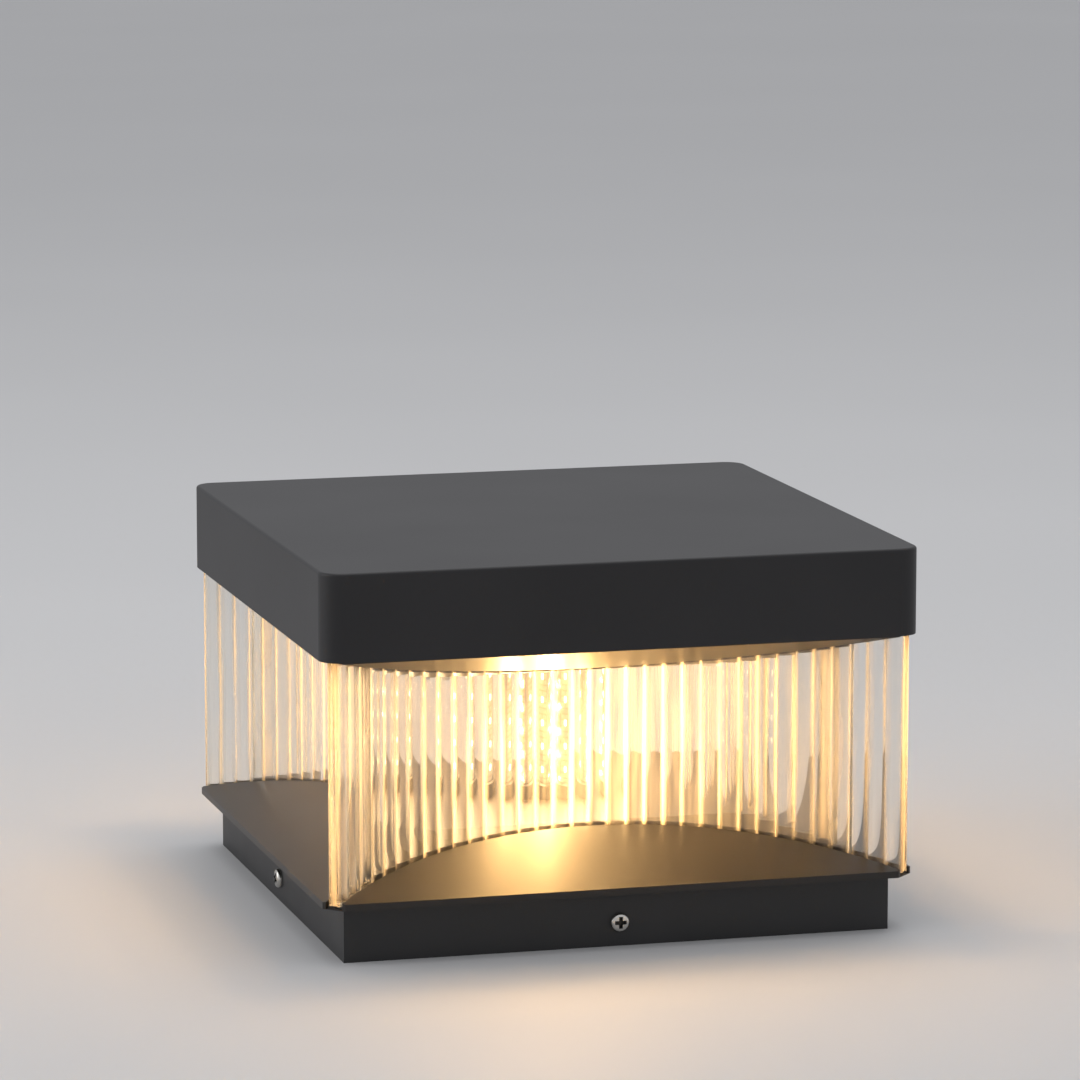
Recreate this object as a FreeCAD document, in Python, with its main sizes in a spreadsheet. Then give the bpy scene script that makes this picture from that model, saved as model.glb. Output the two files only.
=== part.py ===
"""Deck post cap light: flat cap, ribbed bowed diffuser, hipped deck, plinth over a fixing plate.

Millimetres, +Z up, front is -Y. The origin is the middle of the plinth's lower edge.
"""
import FreeCAD, Part
import math
import os
import re

import Sketcher

Vector = FreeCAD.Vector
doc = FreeCAD.newDocument("DeckPostCapLight")
sizes = doc.addObject("Spreadsheet::Sheet", "Sizes")

# ---------------------------------------------------------------- driving dimensions
DRIVING = (
    # how far a cut runs past the face that it opens
    ("cut_margin", 1),
    # cap
    ("overall_height", 160),
    ("cap_side", 250),
    ("cap_height", 36),
    ("cap_wall", 2.5),
    ("cap_top_wall", 3),
    ("cap_corner_radius", 9),
    ("cap_edge_round", 1.2),
    ("soffit_slope", 17.6),
    ("soffit_flat_side", 134),
    ("soffit_thickness", 5.5),
    ("soffit_gap", 0.3),
    ("boss_offset", 58),
    ("boss_radius", 4.5),
    ("boss_hole_depth", 12),
    # deck
    ("deck_set_back", 1),
    ("base_chamfer", 7.5),
    ("deck_edge_thickness", 4),
    ("deck_slope", 15.7),
    ("deck_flat_side", 134),
    ("deck_wall", 5.5),
    ("deck_rim_width", 14),
    # diffuser: each side is one long inward bow of ribs
    ("bow_setback", 54),
    ("rib_count", 34),
    ("rib_rise", 1.1),
    ("diffuser_wall", 2),
    ("tip_width", 5),
    ("core_width", 2.8),
    ("tip_rib_count", 3),
    ("tip_rib_rise", 0.4),
    ("groove_depth", 3),
    ("groove_gap", 0.25),
    ("seal_thickness", 1),
    # plinth
    ("plinth_set_back", 9),
    ("plinth_height", 22),
    ("skirt_wall", 1.5),
    ("skirt_return", 12),
    ("skirt_screw_spacing", 150),
    # fixing plate
    ("plate_margin", 15),
    ("plate_thickness", 2),
    ("plate_corner_radius", 8),
    ("plate_gap", 0.4),
    ("tab_width", 40),
    ("tab_height", 16),
    ("tab_bend_radius", 3),
    ("anchor_spacing", 140),
    ("anchor_hole_radius", 3.5),
    ("cable_hole_radius", 14),
    ("grommet_bore_radius", 10),
    ("grommet_lip", 2),
    ("grommet_rise", 1.5),
    ("earth_offset", 45),
    # screws and nuts
    ("side_screw_z", 10),
    ("side_screw_length", 12),
    ("slot_gap", 0.3),
    ("pan_head_radius", 4),
    ("pan_head_height", 2.4),
    ("screw_radius", 2),
    ("screw_gap", 0.08),
    ("recess_span", 4.6),
    ("recess_width", 1),
    ("recess_depth", 1.4),
    ("small_screw_ratio", 0.6),
    ("short_screw_length", 7),
    ("soffit_screw_length", 14),
    ("screw_tip_room", 0.5),
    ("crown_rim_ratio", 0.45),
    ("crown_flat_ratio", 0.6),
    ("nut_side", 7),
    ("nut_thickness", 2.2),
    # hollow rod that clamps soffit, diffuser and deck together
    ("rod_radius", 5),
    ("rod_bore_radius", 3.5),
    ("rod_nut_flats", 17),
    ("rod_nut_height", 6),
    ("rod_end", 2),
    ("rod_washer_radius", 11),
    ("rod_washer_thickness", 1.5),
    # lamp column
    ("column_flats", 30),
    ("column_cap_radius", 23),
    ("column_cap_height", 6),
    ("column_cap_floor", 3),
    ("column_gap", 0.15),
    ("board_width", 12),
    ("board_thickness", 1.2),
    ("chip_width", 3.5),
    ("chip_height", 2.8),
    ("chip_depth", 0.8),
    ("chip_count", 5),
    ("chip_margin", 5.8),
    # driver hung under the deck
    ("driver_length", 96),
    ("driver_width", 44),
    ("driver_height", 20),
    ("driver_wall", 2),
    ("driver_offset", 40),
    ("driver_stand_off", 2.5),
    ("lid_thickness", 2),
    ("ear_length", 12),
    ("ear_width", 10),
    ("ear_thickness", 3),
    ("ear_shift", 8),
    ("corner_post_radius", 3),
    ("board_stand_off", 3),
    ("stand_off_radius", 2),
    ("driver_board_length", 80),
    ("driver_board_width", 36),
    ("driver_board_thickness", 1.6),
    ("transformer_side", 18),
    ("transformer_height", 12),
    ("terminal_length", 10),
    ("terminal_width", 20),
    ("terminal_height", 9),
    ("terminal_margin", 13),
    # cable gland in the driver's end
    ("gland_shift", 9),
    ("gland_hex_flats", 15),
    ("gland_hex_height", 4),
    ("gland_thread_radius", 6),
    ("gland_thread_length", 6),
    ("gland_bore_radius", 3.5),
    ("gland_nut_radius", 7.5),
    ("gland_nut_length", 10),
    ("gland_nut_floor", 2),
    ("gland_seal_length", 2),
    # lead from the driver up the rod
    ("lead_radius", 2),
    ("lead_bend_radius", 9),
    ("lead_exit_drop", 17),
    ("lead_top_margin", 8),
)

# ---------------------------------------------------------------- sizes that follow from those
FOLLOWING = {
    "base_side": "cap_side - 2 * deck_set_back",
    "plinth_side": "base_side - 2 * plinth_set_back",
    "plate_side": "plinth_side - 2 * plate_margin",
    "deck_pocket_side": "plinth_side - 2 * deck_rim_width",
    "deck_edge_z": "plinth_height + deck_edge_thickness",
    "deck_flat_z": "deck_edge_z + (base_side - deck_flat_side) / 2 * tan(deck_slope)",
    "deck_back_z": "deck_flat_z - deck_wall",
    "cap_rim_z": "overall_height - cap_height",
    "cap_inner_z": "overall_height - cap_top_wall",
    "soffit_flat_z": "cap_rim_z - (cap_side - soffit_flat_side) / 2 * tan(soffit_slope)",
    "soffit_back_z": "soffit_flat_z + soffit_thickness",
    "soffit_side": "cap_side - 2 * cap_wall - 2 * soffit_gap",
    "hip_margin": "cap_wall + base_chamfer",
    "tip_reach": "base_side - base_chamfer - tip_rib_rise * sqrt(2)",
    "tip_across": "(tip_reach - tip_width / sqrt(2)) / 2",
    "valley_middle": "cap_side / 2 - bow_setback - rib_rise",
    "bow_depth": "tip_reach - tip_across - valley_middle",
    "valley_radius": "(tip_across * tip_across + bow_depth * bow_depth) / (2 * bow_depth)",
    "bow_radius": "valley_radius - rib_rise",
    "bow_centre": "valley_middle + valley_radius",
    "inner_radius": "valley_radius + diffuser_wall",
    "core_line": "bow_centre - core_width / sqrt(2)",
    "core_reach": "bow_centre - sqrt(2 * inner_radius * inner_radius - core_line * core_line)",
    "screw_hole_radius": "screw_radius + screw_gap",
    "rod_hole_radius": "rod_radius + screw_gap",
    "rod_low_z": "deck_back_z - rod_washer_thickness - rod_nut_height - rod_end",
    "rod_high_z": "soffit_back_z + rod_washer_thickness + rod_nut_height + rod_end",
    "column_low_z": "deck_flat_z + column_cap_floor",
    "column_high_z": "soffit_flat_z - column_cap_floor",
    "board_low_z": "deck_flat_z + column_cap_height",
    "board_high_z": "soffit_flat_z - column_cap_height",
    "chip_first_z": "board_low_z + chip_margin",
    "chip_pitch": "(board_high_z - board_low_z - 2 * chip_margin) / (chip_count - 1)",
    "skirt_inner": "plinth_side / 2 - skirt_wall",
    "skirt_screw_line": "(skirt_inner + deck_pocket_side / 2) / 2",
    "tab_face": "skirt_inner - plate_gap",
    "nut_face": "tab_face - plate_thickness - plate_gap",
    "driver_top_z": "deck_back_z - driver_stand_off",
    "driver_low_z": "driver_top_z - driver_height",
    "board_z": "driver_low_z + board_stand_off",
    "driver_front": "driver_offset - driver_width / 2",
    "driver_back": "driver_offset + driver_width / 2",
    "ear_hole_x": "driver_length / 2 + ear_length / 2",
    "ear_y": "driver_offset - ear_shift",
    "ear_low_z": "driver_top_z - ear_thickness",
    "lid_low_z": "driver_low_z - lid_thickness",
    "post_x": "driver_length / 2 - corner_post_radius",
    "post_y": "driver_width / 2 - corner_post_radius",
    "small_hole_radius": "screw_radius * small_screw_ratio + screw_gap",
    "board_top_z": "board_z + driver_board_thickness",
    "terminal_offset": "driver_board_length / 2 - terminal_margin",
    "gland_y": "driver_offset + gland_shift",
    "gland_z": "(driver_top_z + driver_low_z) / 2",
    "lead_exit_z": "deck_back_z - lead_exit_drop",
}

for row, (alias, number) in enumerate(DRIVING, start=1):
    sizes.set("A%d" % row, alias)
    sizes.set("B%d" % row, str(number))
    sizes.setAlias("B%d" % row, alias)
doc.recompute()
ALIASES = {alias for alias, number in DRIVING}


# ---------------------------------------------------------------- helpers
def formula(text):
    """The expression for a formula written with the names of sizes."""
    def look_up(match):
        word = match.group(0)
        if word in FOLLOWING:
            return "(" + formula(FOLLOWING[word]) + ")"
        return "Sizes." + word if word in ALIASES else word
    return re.sub(r"[a-z_]+", look_up, text)


def value(text):
    return float(sizes.evalExpression(formula(text)))


def bind(thing, prop, text):
    thing.setExpression(prop, formula(text))


def new_body(label):
    made = doc.addObject("PartDesign::Body", label)
    made.Label = label
    return made


def new_sketch(owner, plane="XY_Plane", height="0"):
    made = owner.newObject("Sketcher::SketchObject", owner.Label + "_outline")
    support = [piece for piece in owner.Origin.OriginFeatures if piece.Role == plane][0]
    made.AttachmentSupport = [(support, "")]
    made.MapMode = "FlatFace"
    bind(made, "AttachmentOffset.Base.z", height)
    return made


def pin_point(sketch, line, end, across, up):
    """Hold one end of a line, or a circle's centre, at a place given by two formulas."""
    for kind, axis, text in (("DistanceX", -2, across), ("DistanceY", -1, up)):
        if text == "0":
            sketch.addConstraint(Sketcher.Constraint("PointOnObject", line, end, axis))
        else:
            spot = Sketcher.Constraint(kind, -1, 1, line, end, value(text))
            bind(sketch, "Constraints[%d]" % sketch.addConstraint(spot), text)


def polygon(sketch, corners):
    """A closed outline of straight lines through corners given as pairs of formulas."""
    first = sketch.GeometryCount
    points = [Vector(value(across), value(up), 0) for across, up in corners]
    for index, point in enumerate(points):
        following = points[(index + 1) % len(points)]
        sketch.addGeometry(Part.LineSegment(point, following), False)
    for index, (across, up) in enumerate(corners):
        after = first + (index + 1) % len(corners)
        sketch.addConstraint(Sketcher.Constraint("Coincident", first + index, 2, after, 1))
        pin_point(sketch, first + index, 1, across, up)


def rectangle(sketch, left, right, low, high):
    polygon(sketch, ((left, low), (right, low), (right, high), (left, high)))


def square(sketch, side):
    half = "(%s) / 2" % side
    rectangle(sketch, "-" + half, half, "-" + half, half)


def rounded_square(sketch, side, radius):
    """A square about the origin with round corners."""
    far, near = "(%s) / 2" % side, "((%s) / 2 - (%s))" % (side, radius)
    turns = ((far, near, 0), ("-" + near, far, 90), ("-" + far, "-" + near, 180),
             (near, "-" + far, 270))
    starts = ((far, "-" + near), (near, far), ("-" + far, near), ("-" + near, "-" + far))
    first = sketch.GeometryCount
    for start, (across, up, turn) in zip(starts, turns):
        low = Vector(value(start[0]), value(start[1]), 0)
        sketch.addGeometry(Part.LineSegment(low, Vector(value(across), value(up), 0)), False)
    for (across, up, turn) in turns:
        quarter = math.radians(turn)
        middle = Vector(value(near) * (1 if turn in (0, 270) else -1),
                        value(near) * (1 if turn in (0, 90) else -1), 0)
        ring = Part.Circle(middle, Vector(0, 0, 1), value(radius))
        sketch.addGeometry(Part.ArcOfCircle(ring, quarter, quarter + math.pi / 2), False)
    for index in range(4):
        line, arc, after = first + index, first + 4 + index, first + (index + 1) % 4
        pin_point(sketch, line, 1, *starts[index])
        pin_point(sketch, line, 2, *turns[index][:2])
        sketch.addConstraint(Sketcher.Constraint("Coincident", line, 2, arc, 1))
        sketch.addConstraint(Sketcher.Constraint("Coincident", arc, 2, after, 1))
    size = sketch.addConstraint(Sketcher.Constraint("Radius", first + 4, value(radius)))
    bind(sketch, "Constraints[%d]" % size, radius)


def circle(sketch, across, up, radius):
    centre = Vector(value(across), value(up), 0)
    ring = sketch.addGeometry(Part.Circle(centre, Vector(0, 0, 1), value(radius)), False)
    pin_point(sketch, ring, 3, across, up)
    size = sketch.addConstraint(Sketcher.Constraint("Radius", ring, value(radius)))
    bind(sketch, "Constraints[%d]" % size, radius)


def hexagon(sketch, flats):
    """A hexagon about the origin with two of its flats facing the front and the rear."""
    corner = "(%s) / 2 / cos(30)" % flats
    turns = [60 * k for k in range(6)]
    polygon(sketch, [("%s * cos(%d)" % (corner, turn), "%s * sin(%d)" % (corner, turn))
                     for turn in turns])


def pad(owner, sketch, length):
    made = owner.newObject("PartDesign::Pad", owner.Label + "_pad")
    made.Profile = sketch
    bind(made, "Length", length)
    sketch.Visibility = False
    doc.recompute()
    return made


def pocket(owner, sketch, length, upward=True):
    """Cut a sketch out of the body, upward or downward from the sketch's own height."""
    before = owner.Shape.Volume
    made = owner.newObject("PartDesign::Pocket", owner.Label + "_pocket")
    made.Profile = sketch
    made.Reversed = upward
    bind(made, "Length", length)
    sketch.Visibility = False
    doc.recompute()
    if owner.Shape.Volume >= before:
        raise ValueError("the pocket in " + owner.Label + " cuts nothing")
    return made


def through_pocket(owner, sketch):
    """Cut a sketch right through the body, both ways."""
    made = owner.newObject("PartDesign::Pocket", owner.Label + "_through")
    made.Profile = sketch
    made.Type = "ThroughAll"
    made.Midplane = True
    doc.recompute()
    return made


def revolve(owner, sketch):
    made = owner.newObject("PartDesign::Revolution", owner.Label + "_turned")
    made.Profile = sketch
    made.ReferenceAxis = (sketch, ["V_Axis"])
    made.Angle = 360
    doc.recompute()
    return made


def four_times(owner, features, sketch):
    """Repeat features four times round the upright axis of a sketch."""
    made = owner.newObject("PartDesign::PolarPattern", owner.Label + "_pattern")
    made.Originals = features
    made.Axis = (sketch, ["N_Axis"])
    made.Angle = 360
    made.Occurrences = 4
    owner.Tip = made
    doc.recompute()
    return made


def fillet(owner, names, radius):
    base = owner.Tip
    made = owner.newObject("PartDesign::Fillet", owner.Label + "_round")
    made.Base = (base, names)
    bind(made, "Radius", radius)
    doc.recompute()
    return made


def hip(name, low_z, low_half, high_z, high_half):
    """A square frustum with level ends, half as wide as told at each end."""
    made = doc.addObject("Part::Wedge", name)
    made.Placement = FreeCAD.Placement(Vector(), FreeCAD.Rotation(Vector(1, 0, 0), 90))
    for prop, text in (
            ("Ymin", low_z), ("Ymax", high_z),
            ("Xmin", "-(%s)" % low_half), ("Xmax", low_half),
            ("Zmin", "-(%s)" % low_half), ("Zmax", low_half),
            ("X2min", "-(%s)" % high_half), ("X2max", high_half),
            ("Z2min", "-(%s)" % high_half), ("Z2max", high_half)):
        bind(made, prop, text)
    return made


def deck_hip(name, drop):
    """All that lies under the deck's sloping top, lowered by a drop."""
    return hip(name, "deck_edge_z - hip_margin * tan(deck_slope) - (%s)" % drop,
               "base_side / 2 + hip_margin", "deck_flat_z - (%s)" % drop, "deck_flat_side / 2")


def soffit_hip(name, rise):
    """All that lies over the cap's sloping underside, raised by a rise."""
    return hip(name, "soffit_flat_z + (%s)" % rise, "soffit_flat_side / 2",
               "cap_rim_z + hip_margin * tan(soffit_slope) + (%s)" % rise,
               "cap_side / 2 + hip_margin")


def combine(kind, name, base, tool):
    made = doc.addObject("Part::" + kind, name)
    made.Base = base
    made.Tool = tool
    return made


def fuse(name, pieces):
    made = doc.addObject("Part::MultiFuse", name)
    made.Shapes = pieces
    return made


def cylinder(name, across, deep, low, radius, height):
    made = doc.addObject("Part::Cylinder", name)
    bind(made, "Radius", radius)
    bind(made, "Height", height)
    for axis, text in (("x", across), ("y", deep), ("z", low)):
        bind(made, "Placement.Base." + axis, text)
    return made


def box(name, half_x, half_y, low, height, deep="0"):
    """A box centred across, with its middle at a given depth."""
    made = doc.addObject("Part::Box", name)
    bind(made, "Length", "2 * (%s)" % half_x)
    bind(made, "Width", "2 * (%s)" % half_y)
    bind(made, "Height", height)
    for axis, text in (("x", "-(%s)" % half_x), ("y", "%s - (%s)" % (deep, half_y)), ("z", low)):
        bind(made, "Placement.Base." + axis, text)
    return made


def turned(shape, degrees):
    return shape.rotated(Vector(), Vector(0, 0, 1), degrees)


def group(label, template, placements):
    """Copies of one template piece as separate solids of one sub-part."""
    copies = []
    for placement in placements:
        copy = template.Shape.copy()
        copy.Placement = placement.multiply(copy.Placement)
        copies.append(copy)
    made = doc.addObject("Part::Feature", label)
    made.Label = label
    made.Shape = Part.makeCompound(copies)
    return made


def at(x, y, z, axis=Vector(0, 0, 1), degrees=0):
    return FreeCAD.Placement(Vector(x, y, z), FreeCAD.Rotation(axis, degrees))


# ---------------------------------------------------------------- bowed outline of the diffuser
def bow_end(radius, reach):
    """Angle at which a bow of this radius meets the blunt corner |x| + |y| = reach."""
    along = (value("bow_centre") - reach) / (math.sqrt(2) * radius)
    return math.degrees(math.acos(along)) - 45


def bow_point(radius, degrees):
    turn = math.radians(degrees)
    return Vector(radius * math.sin(turn), radius * math.cos(turn) - value("bow_centre"), 0)


def plain_side(radius, reach):
    """One smooth bow, as an arc that ends at both blunt corners."""
    end = bow_end(radius, reach)
    return [Part.Arc(bow_point(radius, -end), bow_point(radius, 0), bow_point(radius, end)).toShape()]


def ribbed_side(reach):
    """One bow of round ribs that meet in sharp valleys."""
    crest, valley = value("bow_radius"), value("valley_radius")
    count = int(value("rib_count"))
    end = bow_end(valley, reach)
    step = 2 * end / count
    ribs = []
    for rib in range(count):
        start = rib * step - end
        ribs.append(Part.Arc(bow_point(valley, start), bow_point(crest, start + step / 2),
                             bow_point(valley, start + step)).toShape())
    return ribs


def blunt_corner(start, stop, count, rise):
    """The blunt corner between two sides: a straight line, or a few narrow ribs."""
    if count == 0:
        return [Part.LineSegment(start, stop).toShape()]
    outward = Vector(start.x + stop.x, start.y + stop.y, 0).normalize()
    ribs = []
    for rib in range(count):
        low = start + (stop - start) * (rib / count)
        high = start + (stop - start) * ((rib + 1) / count)
        ribs.append(Part.Arc(low, (low + high) / 2 + outward * rise, high).toShape())
    return ribs


def star_face(side, corner_ribs=0, corner_rise=0):
    """Four like sides and four blunt corners, closed into one face."""
    start = side[-1].Vertexes[-1].Point
    stop = turned(side[0], 90).Vertexes[0].Point
    quarter = side + blunt_corner(start, stop, corner_ribs, corner_rise)
    edges = [turned(edge, 90 * k) for k in range(4) for edge in quarter]
    return Part.Face(Part.Wire(edges))


def star_ring(name, outer, inner):
    """An upright ring between an outer and an inner star, from the deck's edge into the cap."""
    low = value("plinth_height")
    rise = Vector(0, 0, value("cap_rim_z + groove_depth") - low)
    ring = outer.extrude(rise).cut(inner.extrude(rise))
    made = doc.addObject("Part::Feature", name)
    made.Shape = ring.translated(Vector(0, 0, low))
    return made


def groove_ring(name, gap, reach):
    """Room for the diffuser's edge, wider than it by a gap on every side."""
    outer = star_face(plain_side(value("bow_radius") - gap, reach))
    inner = star_face(plain_side(value("inner_radius") + gap, value("core_reach") - gap))
    return star_ring(name, outer, inner)


# ---------------------------------------------------------------- cap
def make_top_cap():
    cap = new_body("top_cap")
    outline = new_sketch(cap, height="cap_rim_z")
    rounded_square(outline, "cap_side", "cap_corner_radius")
    pad(cap, outline, "cap_height")
    top = value("overall_height")
    rim = ["Edge%d" % index for index, edge in enumerate(cap.Shape.Edges, start=1)
           if edge.BoundBox.ZMin > top - 1e-6]
    fillet(cap, rim, "cap_edge_round")
    hollow = new_sketch(cap, height="cap_rim_z")
    rounded_square(hollow, "cap_side - 2 * cap_wall", "cap_corner_radius - cap_wall")
    pocket(cap, hollow, "cap_height - cap_top_wall")
    bosses = new_sketch(cap, height="soffit_back_z")
    for sx in ("", "-"):
        for sy in ("", "-"):
            circle(bosses, sx + "boss_offset", sy + "boss_offset", "boss_radius")
    pad(cap, bosses, "cap_inner_z - soffit_back_z")
    holes = new_sketch(cap, height="soffit_back_z")
    for sx in ("", "-"):
        for sy in ("", "-"):
            circle(holes, sx + "boss_offset", sy + "boss_offset", "screw_hole_radius")
    pocket(cap, holes, "boss_hole_depth")
    return cap


def make_soffit(groove):
    """Hipped plate that closes the cap from below, with a groove for the diffuser's top."""
    blank = new_body("soffit_blank")
    outline = new_sketch(blank, height="soffit_flat_z")
    rounded_square(outline, "soffit_side", "cap_corner_radius - cap_wall - soffit_gap")
    pad(blank, outline, "cap_rim_z - soffit_flat_z + soffit_thickness")
    under = combine("Common", "soffit_under", blank, soffit_hip("soffit_lower", "0"))
    plate = combine("Cut", "soffit_slab", under, soffit_hip("soffit_upper", "soffit_thickness"))
    groove_top = soffit_hip("soffit_groove_top", "groove_depth")
    groove_cut = combine("Cut", "soffit_groove", groove, groove_top)
    grooved = combine("Cut", "soffit_grooved", plate, groove_cut)
    low, through = "soffit_flat_z - cut_margin", "soffit_thickness + 2 * cut_margin"
    holes = [cylinder("soffit_hole", sx + "boss_offset", sy + "boss_offset", low,
                      "screw_hole_radius", through)
             for sx in ("", "-") for sy in ("", "-")]
    holes.append(cylinder("soffit_rod_hole", "0", "0", low, "rod_hole_radius", through))
    return combine("Cut", "soffit_plate", grooved, fuse("soffit_holes", holes))


# ---------------------------------------------------------------- deck
def make_deck(groove):
    """Hipped casting: thin cut-cornered edge, hollow underside, groove, rod hole and two bosses."""
    blank = new_body("deck_blank")
    outline = new_sketch(blank, height="plinth_height")
    near, far = "(base_side / 2 - base_chamfer)", "(base_side / 2)"
    polygon(outline, ((near, "-" + far), (far, "-" + near), (far, near), (near, far),
                      ("-" + near, far), ("-" + far, near), ("-" + far, "-" + near),
                      ("-" + near, "-" + far)))
    pad(blank, outline, "deck_flat_z - plinth_height")
    solid = combine("Common", "deck_solid", blank, deck_hip("deck_top", "0"))
    room = box("deck_room", "deck_pocket_side / 2", "deck_pocket_side / 2",
               "plinth_height - cut_margin", "deck_flat_z")
    hollow = combine("Common", "deck_hollow", room, deck_hip("deck_under", "deck_wall"))
    shell = combine("Cut", "deck_shell", solid, hollow)
    groove_floor = deck_hip("deck_groove_floor", "groove_depth")
    groove_cut = combine("Cut", "deck_groove", groove, groove_floor)
    grooved = combine("Cut", "deck_grooved", shell, groove_cut)
    bosses = [cylinder("deck_boss", side + "ear_hole_x", "ear_y",
                       "driver_top_z", "boss_radius", "driver_stand_off + deck_wall / 2")
              for side in ("", "-")]
    bossed = fuse("deck_bossed", [grooved] + bosses)
    holes = [cylinder("deck_rod_hole", "0", "0", "deck_back_z - cut_margin", "rod_hole_radius",
                      "deck_wall + 2 * cut_margin")]
    driver_hole = "short_screw_length - ear_thickness + cut_margin + screw_tip_room"
    for side in ("", "-"):
        holes.append(cylinder("deck_driver_hole", side + "ear_hole_x", "ear_y",
                              "driver_top_z - cut_margin", "screw_hole_radius", driver_hole))
    skirt_hole = "short_screw_length - skirt_wall + cut_margin + screw_tip_room"
    for along in ("", "-"):
        for side in ("", "-"):
            spots = ((along + "skirt_screw_spacing / 2", side + "skirt_screw_line"),
                     (side + "skirt_screw_line", along + "skirt_screw_spacing / 2"))
            for across, deep in spots:
                holes.append(cylinder("deck_skirt_hole", across, deep,
                                      "plinth_height - cut_margin", "screw_hole_radius",
                                      skirt_hole))
    return combine("Cut", "base_deck", bossed, fuse("deck_holes", holes))


# ---------------------------------------------------------------- diffuser and its seals
def make_diffuser():
    """Ribbed tube of four inward bows whose ends follow the slopes of deck and cap."""
    ribs = ribbed_side(value("tip_reach"))
    outer = star_face(ribs, int(value("tip_rib_count")), value("tip_rib_rise"))
    inner = star_face(plain_side(value("inner_radius"), value("core_reach")))
    tube = star_ring("diffuser_tube", outer, inner)
    seat = "groove_depth - seal_thickness"
    trimmed = combine("Cut", "diffuser_on_deck", tube, deck_hip("diffuser_foot", seat))
    return combine("Cut", "diffuser", trimmed, soffit_hip("diffuser_head", seat))


def make_seals():
    """Flat gaskets at the bottom of the two grooves, cut to the diffuser's own outline."""
    ring = groove_ring("seal_ring", value("groove_gap / 2"), value("tip_reach - seal_thickness"))
    floor = combine("Cut", "lower_seal_floor", ring, deck_hip("lower_seal_under", "groove_depth"))
    lower = combine("Common", "lower_seal", floor,
                    deck_hip("lower_seal_over", "groove_depth - seal_thickness"))
    roof = combine("Cut", "upper_seal_roof", ring, soffit_hip("upper_seal_over", "groove_depth"))
    upper = combine("Common", "upper_seal", roof,
                    soffit_hip("upper_seal_under", "groove_depth - seal_thickness"))
    return [lower, upper]


# ---------------------------------------------------------------- plinth
def make_skirt():
    """Folded plinth: four walls and a return flange that is screwed up into the deck."""
    skirt = new_body("plinth_skirt")
    outline = new_sketch(skirt)
    square(outline, "plinth_side")
    pad(skirt, outline, "plinth_height")
    room = new_sketch(skirt)
    square(room, "2 * skirt_inner")
    pocket(skirt, room, "plinth_height - skirt_wall")
    mouth = new_sketch(skirt)
    square(mouth, "2 * (skirt_inner - skirt_return)")
    pocket(skirt, mouth, "plinth_height")
    for plane in ("XZ_Plane", "YZ_Plane"):
        hole = new_sketch(skirt, plane)
        circle(hole, "0", "side_screw_z", "screw_hole_radius")
        through_pocket(skirt, hole)
    screws = new_sketch(skirt)
    for along in ("", "-"):
        for side in ("", "-"):
            half, line = along + "skirt_screw_spacing / 2", side + "skirt_screw_line"
            circle(screws, half, line, "screw_hole_radius")
            circle(screws, line, half, "screw_hole_radius")
    pocket(skirt, screws, "plinth_height")
    return skirt


# ---------------------------------------------------------------- fixing plate
def make_plate():
    """Plate for the top of the post, with four upturned tabs slotted from above."""
    plate = new_body("mounting_plate")
    outline = new_sketch(plate)
    rounded_square(outline, "plate_side", "plate_corner_radius")
    pad(plate, outline, "plate_thickness")
    fold = new_sketch(plate, "XZ_Plane", "-tab_width / 2")
    polygon(fold, (("plate_side / 2 - tab_bend_radius", "0"), ("tab_face", "0"),
                   ("tab_face", "tab_height"), ("tab_face - plate_thickness", "tab_height"),
                   ("tab_face - plate_thickness", "plate_thickness"),
                   ("plate_side / 2 - tab_bend_radius", "plate_thickness")))
    tab = pad(plate, fold, "tab_width")
    slot = new_sketch(plate, "YZ_Plane", "tab_face - plate_thickness - cut_margin")
    half = "(screw_radius + slot_gap)"
    rectangle(slot, "-" + half, half, "side_screw_z", "tab_height + cut_margin")
    round_end = new_sketch(plate, "YZ_Plane", "tab_face - plate_thickness - cut_margin")
    circle(round_end, "0", "side_screw_z", half)
    slot_cut = pocket(plate, slot, "plate_thickness + 2 * cut_margin")
    end_cut = pocket(plate, round_end, "plate_thickness + 2 * cut_margin")
    four_times(plate, [tab, slot_cut, end_cut], outline)
    fillet(plate, fold_edges(plate.Shape, "tab_face", "0"), "tab_bend_radius")
    inner = fold_edges(plate.Shape, "tab_face - plate_thickness", "plate_thickness")
    fillet(plate, inner, "tab_bend_radius - plate_thickness")
    holes = new_sketch(plate)
    for sx in ("", "-"):
        for sy in ("", "-"):
            circle(holes, sx + "anchor_spacing / 2", sy + "anchor_spacing / 2",
                   "anchor_hole_radius")
    circle(holes, "0", "0", "cable_hole_radius")
    circle(holes, "earth_offset", "0", "screw_hole_radius")
    pocket(plate, holes, "plate_thickness")
    return plate


def fold_edges(shape, distance, height):
    """Names of the four level edges along the tabs' folds, at one distance and height."""
    names = []
    for index, edge in enumerate(shape.Edges, start=1):
        room = edge.BoundBox
        level = room.ZLength < 1e-6 and abs(room.ZMin - value(height)) < 1e-6
        reach = max(abs(room.XMin + room.XMax), abs(room.YMin + room.YMax)) / 2
        along = max(room.XLength, room.YLength) > value("tab_width") - 1e-3
        if level and along and abs(reach - value(distance)) < 1e-3:
            names.append("Edge%d" % index)
    return names


def make_grommet():
    """Rubber ring with a groove that grips the rim of the cable hole."""
    ring = new_body("cable_grommet")
    outline = new_sketch(ring, "XZ_Plane")
    hole = "cable_hole_radius"
    lip = "cable_hole_radius + grommet_lip"
    top = "plate_thickness + grommet_rise"
    polygon(outline, (("grommet_bore_radius", "0"), (hole, "0"), (hole, "plate_thickness"),
                      (lip, "plate_thickness"), (lip, top), ("grommet_bore_radius", top)))
    revolve(ring, outline)
    return ring


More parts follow.
